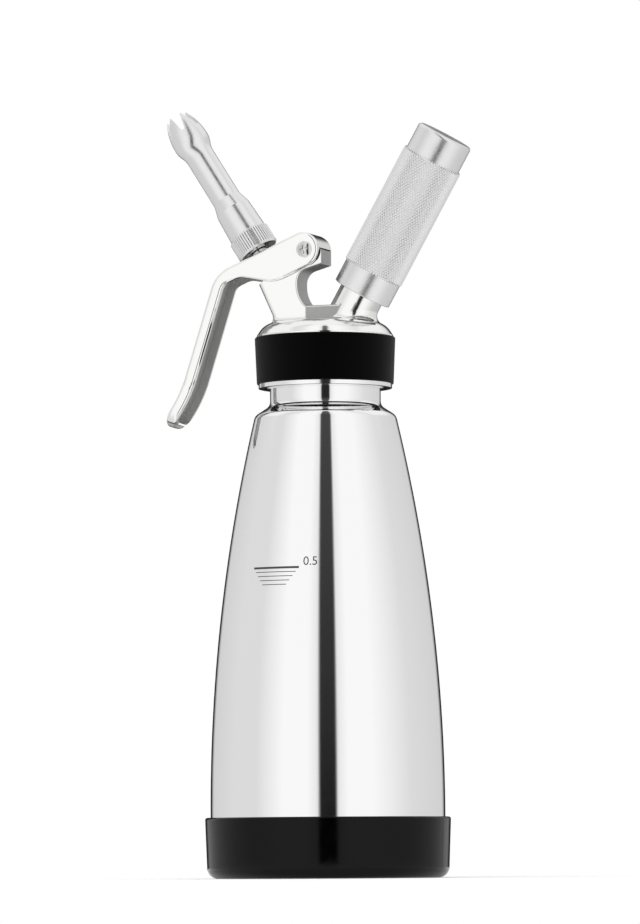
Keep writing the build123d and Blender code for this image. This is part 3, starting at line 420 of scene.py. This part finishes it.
MIRROR_STEEL = polished_stainless()
HEAD_FOOT = reach("head_casting", BOTTLE_FRAME)[0]
# the head's patch is #b0b0af: a rough blasted finish, and painted shade in its recesses and under its
# overhangs
HEAD_STEEL = polished_casting("polished_cast_stainless_head", head_blast_and_shade, "#b0b0af", HEAD_FOOT + UNDERSIDE_SHADE_DEPTH)
# the lever's channel is #cececd: a rough blasted finish, and painted shade between its cheeks
LEVER_STEEL = polished_casting("polished_cast_stainless_lever", channel_blast_and_shade, "#cececd", 0.0)
NOZZLE_STEEL = turned_metal(
    "satin_turned_stainless", VALVE_FRAME, "#eaeaea", rough=0.24, lines=0.5, depth=0.0008
)
HOLDER_ALUMINIUM = turned_metal(
    "satin_anodised_aluminium", CHARGER_FRAME, "#e8e8e9", rough=0.28, lines=0.5, depth=0.0008
)
KNURL_ALUMINIUM = turned_metal(
    "blasted_anodised_aluminium", CHARGER_FRAME, "#ececed", rough=0.38, lines=0.5, depth=0.0008
)
VALVE_STEEL = turned_metal("turned_stainless", VALVE_FRAME, "#d2d2d3", rough=0.2, lines=0.5, depth=0.0015)
PIN_STEEL = turned_metal(
    "turned_stainless_pin", CHARGER_FRAME, "#d2d2d3", rough=0.2, lines=0.5, depth=0.0015
)
SCREW_STEEL = turned_metal("plain_steel_screw", BOTTLE_FRAME, "#d8d8d8", rough=0.16, lines=0.6, depth=0.001)
SPRING_STEEL = turned_metal("drawn_spring_wire", VALVE_FRAME, "#b8b8bb", rough=0.24, lines=2.0, depth=0.001)
BAND_RUBBER = moulded_rubber("matt_black_rubber", gloss=0.01, rough=0.45, bloom=0.1, depth=0.012)
BOOT_RUBBER = moulded_rubber("handled_black_rubber", gloss=0.17, rough=0.1, bloom=0.012, depth=0.0005)
SILICONE = silicone()
ZINC = zinc_plate()
MARKING = etched_print()

NODE_FINISHES = {
    "bottle": MIRROR_STEEL,
    "neck_ring": MIRROR_STEEL,
    "base_boot": BOOT_RUBBER,
    "head_gasket": SILICONE,
    "head_casting": HEAD_STEEL,
    "grip_band": BAND_RUBBER,
    "stem_seal": SILICONE,
    "gland_washer": VALVE_STEEL,
    "piercing_pin": PIN_STEEL,
    "charger_seal": SILICONE,
    "check_sleeve": SILICONE,
    "valve_stem": VALVE_STEEL,
    "valve_gasket": SILICONE,
    "spring_collar": VALVE_STEEL,
    "retaining_ring": SPRING_STEEL,
    "tulip_nozzle": NOZZLE_STEEL,
    "lever": LEVER_STEEL,
    "pivot_sleeve": SCREW_STEEL,
    "pivot_screw": SCREW_STEEL,
    "gas_charger": ZINC,
    "charger_holder": HOLDER_ALUMINIUM,
}


def dress_nodes():
    """Gives every shown CAD node its finish."""
    for node, finish in NODE_FINISHES.items():
        mesh = NODES[node].data
        mesh.materials.clear()
        mesh.materials.append(finish)


def new_tree(name, **inputs):
    """A geometry tree with named inputs for its sizes, and the sockets that bring them in."""
    tree = bpy.data.node_groups.new(name, "GeometryNodeTree")
    for label, kind in inputs.items():
        tree.interface.new_socket(label, in_out="INPUT", socket_type="NodeSocket" + kind)
    tree.interface.new_socket("Mesh", in_out="OUTPUT", socket_type="NodeSocketGeometry")
    return tree, add(tree, "NodeGroupInput").node.outputs


def close_tree(tree, geometry, finish, smooth):
    """Ends a tree in plain geometry with its finish."""
    real = add(tree, "GeometryNodeRealizeInstances", {"Geometry": geometry})
    shaded = add(tree, "GeometryNodeSetShadeSmooth", {"Geometry": real, "Shade Smooth": smooth})
    coated = add(tree, "GeometryNodeSetMaterial", {"Geometry": shaded, "Material": finish})
    add(tree, "NodeGroupOutput", {"Mesh": coated})
    return tree


def knurl_tree():
    """Diamond knurl: rows of four-sided points round a cylinder, every other row turned by half a point."""
    sizes = {"Radius": "Float", "Length": "Float", "Around": "Int", "Rows": "Int", "Depth": "Float"}
    tree, given = new_tree("diamond_knurl", **sizes, Finish="Material")
    width = add(tree, "ShaderNodeMath", {0: tau, 1: given["Around"]}, operation="DIVIDE")
    pitch = add(tree, "ShaderNodeMath", {0: given["Length"], 1: given["Rows"]}, operation="DIVIDE")
    arc = add(tree, "ShaderNodeMath", {0: width, 1: given["Radius"]}, operation="MULTIPLY")
    half_arc = add(tree, "ShaderNodeMath", {0: arc, 1: 0.5}, operation="MULTIPLY")
    half_pitch = add(tree, "ShaderNodeMath", {0: pitch, 1: 0.5}, operation="MULTIPLY")
    size = add(tree, "ShaderNodeCombineXYZ", {"X": half_pitch, "Y": half_arc, "Z": given["Depth"]})
    cone = {"Vertices": 4, "Radius Top": 0.0, "Radius Bottom": 1.0, "Depth": 1.0}
    point = add(tree, "GeometryNodeMeshCone", cone, fill_type="NONE")
    joined = add(tree, "GeometryNodeJoinGeometry")
    for row_shift, short in ((0.0, 0), (0.5, 1)):
        rows = add(tree, "ShaderNodeMath", {0: given["Rows"], 1: short}, operation="SUBTRACT")
        count = add(tree, "ShaderNodeMath", {0: rows, 1: given["Around"]}, operation="MULTIPLY")
        places = add(tree, "GeometryNodePoints", {"Count": count})
        index = add(tree, "GeometryNodeInputIndex")
        passed = add(tree, "ShaderNodeMath", {0: index, 1: given["Around"]}, operation="DIVIDE")
        row = add(tree, "ShaderNodeMath", {0: passed}, operation="FLOOR")
        column = add(tree, "ShaderNodeMath", {0: index, 1: given["Around"]}, operation="MODULO")
        shifted = add(tree, "ShaderNodeMath", {0: column, 1: row_shift}, operation="ADD")
        angle = add(tree, "ShaderNodeMath", {0: shifted, 1: width}, operation="MULTIPLY")
        level = add(tree, "ShaderNodeMath", {0: row, 1: 0.5 + row_shift}, operation="ADD")
        height = add(tree, "ShaderNodeMath", {0: level, 1: pitch}, operation="MULTIPLY")
        cosine = add(tree, "ShaderNodeMath", {0: angle}, operation="COSINE")
        sine = add(tree, "ShaderNodeMath", {0: angle}, operation="SINE")
        x = add(tree, "ShaderNodeMath", {0: cosine, 1: given["Radius"]}, operation="MULTIPLY")
        y = add(tree, "ShaderNodeMath", {0: sine, 1: given["Radius"]}, operation="MULTIPLY")
        spot = add(tree, "ShaderNodeCombineXYZ", {"X": x, "Y": y, "Z": height})
        moved = add(tree, "GeometryNodeSetPosition", {"Geometry": places, "Position": spot})
        turn = add(tree, "ShaderNodeCombineXYZ", {"Y": pi / 2, "Z": angle})
        inputs = {"Points": moved, "Instance": point, "Rotation": turn, "Scale": size}
        field = add(tree, "GeometryNodeInstanceOnPoints", inputs)
        tree.links.new(field, joined.node.inputs["Geometry"])
    return close_tree(tree, joined, given["Finish"], False)


def flute_tree():
    """Straight flutes: upright ribs standing side by side round a ring."""
    sizes = {"Radius": "Float", "Height": "Float", "Width": "Float", "Count": "Int"}
    tree, given = new_tree("straight_flutes", **sizes, Finish="Material")
    half = add(tree, "ShaderNodeMath", {0: given["Width"], 1: 0.5}, operation="MULTIPLY")
    inputs = {"Vertices": FLUTE_SIDES, "Radius": half, "Depth": given["Height"]}
    rib = add(tree, "GeometryNodeMeshCylinder", inputs)
    circle = add(tree, "GeometryNodeMeshCircle", {"Vertices": given["Count"], "Radius": given["Radius"]})
    ribs = add(tree, "GeometryNodeInstanceOnPoints", {"Points": circle, "Instance": rib})
    return close_tree(tree, ribs, given["Finish"], False)


def winding_tree():
    """A round wire or ridge wound up a cylinder."""
    sizes = {"Radius": "Float", "Rise": "Float", "Turns": "Float", "Wire": "Float"}
    tree, given = new_tree("wound_ridge", **sizes, Sides="Int", Steps="Int", Finish="Material")
    inputs = {
        "Resolution": given["Steps"],
        "Rotations": given["Turns"],
        "Start Radius": given["Radius"],
        "End Radius": given["Radius"],
        "Height": given["Rise"],
    }
    spiral = add(tree, "GeometryNodeCurveSpiral", inputs)
    half = add(tree, "ShaderNodeMath", {0: given["Wire"], 1: 0.5}, operation="MULTIPLY")
    section = add(tree, "GeometryNodeCurvePrimitiveCircle", {"Resolution": given["Sides"], "Radius": half})
    inputs = {"Curve": spiral, "Profile Curve": section, "Fill Caps": True}
    return close_tree(tree, add(tree, "GeometryNodeCurveToMesh", inputs), given["Finish"], True)


def grown(tree, placed, height, **sizes):
    """Plain mesh that a geometry tree gives for these sizes, set at a height along an axis frame."""
    carrier = bpy.data.objects.new(tree.name, bpy.data.meshes.new(tree.name))
    SCENE.collection.objects.link(carrier)
    modifier = carrier.modifiers.new(tree.name, "NODES")
    modifier.node_group = tree
    for socket in tree.interface.items_tree:
        if socket.in_out == "INPUT":
            modifier[socket.identifier] = sizes[socket.name]
    evaluated = carrier.evaluated_get(bpy.context.evaluated_depsgraph_get())
    mesh = bpy.data.meshes.new_from_object(evaluated)
    bpy.data.objects.remove(carrier)
    mesh.transform(placed @ Matrix.Translation((0, 0, height * MM)))
    return mesh


def piece(name, mesh, body):
    """A piece of the scene that moves with a body."""
    made = bpy.data.objects.new(name, mesh)
    SCENE.collection.objects.link(made)
    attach(made, body)
    return made


def holder_knurl():
    """Diamond knurl between the holder's rim and cap."""
    low, high, radius = reach("charger_holder", CHARGER_FRAME)
    length = high - low - HOLDER_RIM_HEIGHT - HOLDER_CAP_HEIGHT
    mesh = grown(
        knurl_tree(),
        CHARGER_FRAME,
        low + HOLDER_RIM_HEIGHT,
        Radius=(radius - KNURL_SINK + KNURL_DEPTH / 2) * MM,
        Length=length * MM,
        Around=round(tau * radius / KNURL_WIDTH),
        Rows=round(length / KNURL_LENGTH),
        Depth=KNURL_DEPTH * MM,
        Finish=KNURL_ALUMINIUM,
    )
    piece("holder_knurl", mesh, "holder")


def nozzle_flutes():
    """Straight flutes round the nozzle's foot ring."""
    low, _, radius = reach("tulip_nozzle", VALVE_FRAME)
    mesh = grown(
        flute_tree(),
        VALVE_FRAME,
        low + FLUTE_START + FLUTE_HEIGHT / 2,
        Radius=(radius + FLUTE_PROUD - FLUTE_WIDTH / 2) * MM,
        Height=FLUTE_HEIGHT * MM,
        Width=FLUTE_WIDTH * MM,
        Count=FLUTE_COUNT,
        Finish=NOZZLE_STEEL,
    )
    piece("nozzle_flutes", mesh, "nozzle")


def screw_dome():
    """Domed head of the pivot's screw, with its cross recess, standing on the front cheek."""
    front = min(vertex.co.y for vertex in NODES["lever"].data.vertices) / MM
    pivot = Vector(JOINTS["lever_press"]["pos_m"]) / MM
    points = [Vector((0, 0, DOME_HEIGHT - RECESS_DEPTH))]
    faces = []
    for ring in range(1, DOME_RINGS + 2):
        radius = DOME_RADIUS * min(1.0, ring / DOME_RINGS)
        for side in range(DOME_SIDES):
            turn = tau * side / DOME_SIDES
            along = abs(radius * cos(turn))
            across = abs(radius * sin(turn))
            recessed = max(along, across) < RECESS_LENGTH / 2 and min(along, across) < RECESS_WIDTH / 2
            height = DOME_HEIGHT * (1 - (radius / DOME_RADIUS) ** 2) - RECESS_DEPTH * recessed
            if ring > DOME_RINGS:
                height = -DOME_FOOT
            points.append(Vector((radius * cos(turn), radius * sin(turn), height)))
    for side in range(DOME_SIDES):
        following = (side + 1) % DOME_SIDES
        faces.append((0, 1 + side, 1 + following))
        for ring in range(DOME_RINGS):
            low = 1 + ring * DOME_SIDES
            high = low + DOME_SIDES
            faces.append((low + side, high + side, high + following, low + following))
    faces.append(tuple(reversed(range(len(points) - DOME_SIDES, len(points)))))
    mesh = bpy.data.meshes.new("screw_dome")
    mesh.from_pydata(points, [], faces)
    mesh.materials.append(SCREW_STEEL)
    mesh.transform(Matrix.Rotation(radians(RECESS_TURN), 4, "Z"))
    mesh.transform(Matrix.Translation((pivot.x, front, pivot.z)) @ Matrix.Rotation(pi / 2, 4, "X"))
    mesh.transform(Matrix.Scale(MM, 4))
    piece("screw_dome", mesh, "lever")


def thread(name, placed, radius, start, length, pitch, body, finish):
    """A screw thread's ridge round a plain cylinder."""
    ridge = pitch / 2
    mesh = grown(
        WINDING,
        placed,
        start + pitch / 2,
        Radius=(radius + RIDGE_PROUD - ridge / 2) * MM,
        Rise=(length - pitch) * MM,
        Turns=(length - pitch) / pitch,
        Wire=ridge * MM,
        Sides=THREAD_SIDES,
        Steps=THREAD_STEPS,
        Finish=finish,
    )
    piece(name, mesh, body)


def screw_threads():
    """Threads that show when the head, the holder or the nozzle is off."""
    low, high, radius = reach("neck_ring", BOTTLE_FRAME)
    thread(
        "neck_thread",
        BOTTLE_FRAME,
        radius,
        low,
        high - low,
        NECK_PITCH,
        "bottle",
        MIRROR_STEEL,
    )
    start = reach("head_casting", CHARGER_FRAME)[1] - STUB_THREAD_LENGTH
    thread(
        "stub_thread",
        CHARGER_FRAME,
        STUB_THREAD_RADIUS,
        start,
        STUB_THREAD_LENGTH,
        STUB_PITCH,
        "head",
        PIN_STEEL,
    )
    start = reach("valve_stem", VALVE_FRAME)[1] - STEM_THREAD_LENGTH
    thread(
        "stem_thread",
        VALVE_FRAME,
        STEM_THREAD_RADIUS,
        start,
        STEM_THREAD_LENGTH,
        STEM_PITCH,
        "valve",
        VALVE_STEEL,
    )


def valve_spring():
    """Round wire wound between the gland washer and the collar, moving with the valve."""
    low, high, radius = reach("valve_spring", VALVE_FRAME)
    mesh = grown(
        WINDING,
        VALVE_FRAME,
        low + SPRING_WIRE / 2,
        Radius=(radius - SPRING_WIRE / 2) * MM,
        Rise=(high - low - SPRING_WIRE) * MM,
        Turns=SPRING_TURNS,
        Wire=SPRING_WIRE * MM,
        Sides=SPRING_SIDES,
        Steps=THREAD_STEPS,
        Finish=SPRING_STEEL,
    )
    spring = piece("wound_valve_spring", mesh, "valve")
    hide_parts("valve_spring")
    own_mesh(spring)


def on_bottle(surface, turn, height):
    """Point just clear of the bottle's wall, at an angle from the camera's azimuth and at a height."""
    azimuth = radians(CAMERA_AZIMUTH + turn)
    outward = Vector((sin(azimuth), -cos(azimuth), 0))
    start = outward + Vector((0, 0, height * MM))
    spot, normal, _, _ = surface.ray_cast(start, -outward)
    return spot + normal * PRINT_RELIEF * MM


def printed_line(surface, points, faces, height, half_angle, thickness):
    """Adds a printed line, as a strip that follows the bottle's wall."""
    steps = max(2, round(2 * half_angle / PRINT_STEP))
    first = len(points)
    for step in range(steps + 1):
        turn = MARK_TURN - half_angle + 2 * half_angle * step / steps
        points.append(on_bottle(surface, turn, height - thickness / 2))
        points.append(on_bottle(surface, turn, height + thickness / 2))
    for step in range(steps):
        a = first + 2 * step
        faces.append((a, a + 2, a + 3, a + 1))


def fill_mark():
    """Fill line with its ticks and its plain number, etched on the bottle."""
    bottle = NODES["bottle"].data
    surface = BVHTree.FromPolygons(
        [vertex.co for vertex in bottle.vertices], [polygon.vertices for polygon in bottle.polygons]
    )
    points = []
    faces = []
    printed_line(surface, points, faces, MARK_HEIGHT, MARK_HALF_ANGLE, MARK_THICKNESS)
    for tick in range(1, TICK_COUNT + 1):
        height = MARK_HEIGHT - tick * TICK_SPACING
        printed_line(surface, points, faces, height, MARK_HALF_ANGLE - tick * TICK_SHRINK, TICK_THICKNESS)
    text = bpy.data.curves.new("fill_number", "FONT")
    text.body = "0.5"
    text.size = NUMBER_SIZE
    carrier = bpy.data.objects.new("fill_number", text)
    SCENE.collection.objects.link(carrier)
    letters = bpy.data.meshes.new_from_object(carrier.evaluated_get(bpy.context.evaluated_depsgraph_get()))
    bpy.data.objects.remove(carrier)
    wall = on_bottle(surface, NUMBER_TURN, NUMBER_HEIGHT).xy.length / MM
    first = len(points)
    for vertex in letters.vertices:
        turn = NUMBER_TURN + degrees(vertex.co.x / wall)
        points.append(on_bottle(surface, turn, NUMBER_HEIGHT + vertex.co.y))
    faces += [tuple(first + i for i in polygon.vertices) for polygon in letters.polygons]
    mesh = bpy.data.meshes.new("fill_mark")
    mesh.from_pydata(points, [], faces)
    mesh.materials.append(MARKING)
    piece("fill_mark", mesh, "bottle")


def camera():
    """The photograph's camera: level with the boot, turned towards the middle of the picture."""
    azimuth = radians(CAMERA_AZIMUTH)
    towards = Vector((sin(azimuth), -cos(azimuth), 0))
    right = Vector((cos(azimuth), sin(azimuth), 0))
    across = (PHOTO_WIDTH / 2 - AXIS_X) / PIXELS_PER_MM
    above = CAMERA_HEIGHT + (HORIZON_Y - PHOTO_HEIGHT / 2) / PIXELS_PER_MM
    lens = bpy.data.cameras.new("photo_camera")
    eye = bpy.data.objects.new("photo_camera", lens)
    SCENE.collection.objects.link(eye)
    place = towards * CAMERA_DISTANCE + Vector((0, 0, CAMERA_HEIGHT))
    aim = right * across + Vector((0, 0, above))
    eye.location = place * MM
    turn = (aim - place).to_track_quat("-Z", "Y")
    eye.rotation_euler = (turn.to_matrix() @ Matrix.Rotation(-radians(CAMERA_ROLL), 3, "Z")).to_euler()
    lens.sensor_width = SENSOR
    lens.lens = PIXELS_PER_MM * CAMERA_DISTANCE * SENSOR / PHOTO_HEIGHT
    lens.clip_end = 2 * CAMERA_DISTANCE * MM
    SCENE.camera = eye


# The tent's cloth by angle from the camera's azimuth, in degrees: dark behind the object and in the slit,
# lit panels on both sides of the slit, and greyer walls
DARK_CLOTH = "#1c1c1c"
LIT_PANEL = "#ffffff"
SLIT_HEM = "#ececec"
SIDE_WALL = "#e0e0e0"
BACK_WALL = "#d4d4d4"
TENT = (
    (-180, DARK_CLOTH),
    (-163, DARK_CLOTH),
    (-152, BACK_WALL),
    (-105, SIDE_WALL),
    (-75, SIDE_WALL),
    (-45, LIT_PANEL),
    (-20, LIT_PANEL),
    (-10, SLIT_HEM),
    (-7.6, DARK_CLOTH),
    (8, DARK_CLOTH),
    (10, SLIT_HEM),
    (20, LIT_PANEL),
    (45, LIT_PANEL),
    (90, SIDE_WALL),
    (152, BACK_WALL),
    (163, DARK_CLOTH),
    (180, DARK_CLOTH),
)


def white_tent():
    """World: plain white behind the object, an even fill on it, and the tent in its reflections."""
    world = bpy.data.worlds.new("white_tent")
    SCENE.world = world
    world.use_nodes = True
    tree = world.node_tree
    tree.nodes.clear()
    azimuth = radians(CAMERA_AZIMUTH)
    ray = add(tree, "ShaderNodeTexCoord", out="Generated")
    inputs = {0: ray, 1: (sin(azimuth), -cos(azimuth), 0)}
    front = add(tree, "ShaderNodeVectorMath", inputs, out="Value", operation="DOT_PRODUCT")
    inputs = {0: ray, 1: (cos(azimuth), sin(azimuth), 0)}
    side = add(tree, "ShaderNodeVectorMath", inputs, out="Value", operation="DOT_PRODUCT")
    angle = add(tree, "ShaderNodeMath", {0: side, 1: front}, operation="ARCTAN2")
    share = add(tree, "ShaderNodeMapRange", {"Value": angle, "From Min": -pi, "From Max": pi})
    cloth = add(tree, "ShaderNodeValToRGB", {"Fac": share})
    stops = cloth.node.color_ramp.elements
    while len(stops) < len(TENT):
        stops.new(1.0)
    for stop, (degree, shade) in zip(stops, TENT):
        stop.position = (degree + 180) / 360
        stop.color = linear(shade)
    rise = add(tree, "ShaderNodeSeparateXYZ", {0: ray}, out="Z")
    roofs = []
    for low, high in (ROOF_FRONT, ROOF_BACK):
        inputs = {"Value": rise, "From Min": sin(radians(low)), "From Max": sin(radians(high))}
        roofs.append(add(tree, "ShaderNodeMapRange", inputs))
    behind = below(tree, front, 0.0, ROOF_EDGE)
    roof = add(tree, "ShaderNodeMix", {FACTOR: behind, NUMBER_A: roofs[0], NUMBER_B: roofs[1]})
    upward = add(tree, "ShaderNodeMath", {0: rise, 1: 0.0}, operation="MAXIMUM")
    haze = add(tree, "ShaderNodeMath", {0: upward, 1: HAZE}, operation="MULTIPLY")
    inputs = {FACTOR: haze, COLOUR_A: cloth, COLOUR_B: linear(ROOF_LEVEL)}
    wall = add(tree, "ShaderNodeMix", inputs, COLOUR_OUT, data_type="RGBA")
    inputs = {FACTOR: roof, COLOUR_A: wall, COLOUR_B: linear(ROOF_LEVEL)}
    tent = add(tree, "ShaderNodeMix", inputs, COLOUR_OUT, data_type="RGBA")
    path = add(tree, "ShaderNodeLightPath").node.outputs
    inputs = {0: path["Is Glossy Ray"], 1: path["Is Transmission Ray"]}
    mirrored = add(tree, "ShaderNodeMath", inputs, operation="MAXIMUM")
    inputs = {FACTOR: mirrored, COLOUR_A: linear(FILL_LEVEL), COLOUR_B: tent}
    lit = add(tree, "ShaderNodeMix", inputs, COLOUR_OUT, data_type="RGBA")
    inputs = {FACTOR: path["Is Camera Ray"], COLOUR_A: lit, COLOUR_B: linear("#ffffff")}
    seen = add(tree, "ShaderNodeMix", inputs, COLOUR_OUT, data_type="RGBA")
    back = add(tree, "ShaderNodeBackground", {"Color": seen, "Strength": 1.0})
    add(tree, "ShaderNodeOutputWorld", {"Surface": back})


def pale_floor():
    """Plain pale round floor that keeps the soft shadow under the boot."""
    turns = [tau * side / FLOOR_SIDES for side in range(FLOOR_SIDES)]
    rim = [Vector((FLOOR_RADIUS * cos(turn), FLOOR_RADIUS * sin(turn), -FLOOR_DROP)) * MM for turn in turns]
    mesh = bpy.data.meshes.new("pale_floor")
    mesh.from_pydata(rim, [], [range(FLOOR_SIDES)])
    made, tree, shader = finish_of(
        "white_studio_paper",
        Base_Color=linear("#f8f8f8"),
        Roughness=1.0,
        Specular_IOR_Level=0.0,
        Emission_Color=linear("#ffffff"),
    )
    # the glow that makes the paper white in the picture shows in the object's mirrors too
    path = add(tree, "ShaderNodeLightPath").node.outputs
    inputs = {0: path["Is Glossy Ray"], 1: path["Is Transmission Ray"]}
    mirrored = add(tree, "ShaderNodeMath", inputs, operation="MAXIMUM")
    seen = add(tree, "ShaderNodeMath", {0: path["Is Camera Ray"], 1: mirrored}, operation="MAXIMUM")
    glow = add(tree, "ShaderNodeMath", {0: seen, 1: FLOOR_GLOW}, operation="MULTIPLY")
    tree.links.new(glow, shader.inputs["Emission Strength"])
    mesh.materials.append(made)
    floor = bpy.data.objects.new("pale_floor", mesh)
    SCENE.collection.objects.link(floor)


def softbox():
    """Large soft lamp above the left shoulder, kept out of the mirrors."""
    lamp = bpy.data.lights.new("softbox", "AREA")
    lamp.size = SOFTBOX_SIZE * MM
    lamp.energy = SOFTBOX_POWER
    box = bpy.data.objects.new("softbox", lamp)
    SCENE.collection.objects.link(box)
    box.location = Vector(SOFTBOX_PLACE) * MM
    box.rotation_euler = (-box.location).to_track_quat("-Z", "Y").to_euler()
    box.visible_glossy = False


WINDING = winding_tree()

camera()
white_tent()
pale_floor()
softbox()
SCENE.view_settings.view_transform = "Standard"

dress_nodes()
holder_knurl()
nozzle_flutes()
screw_dome()
screw_threads()
valve_spring()
fill_mark()
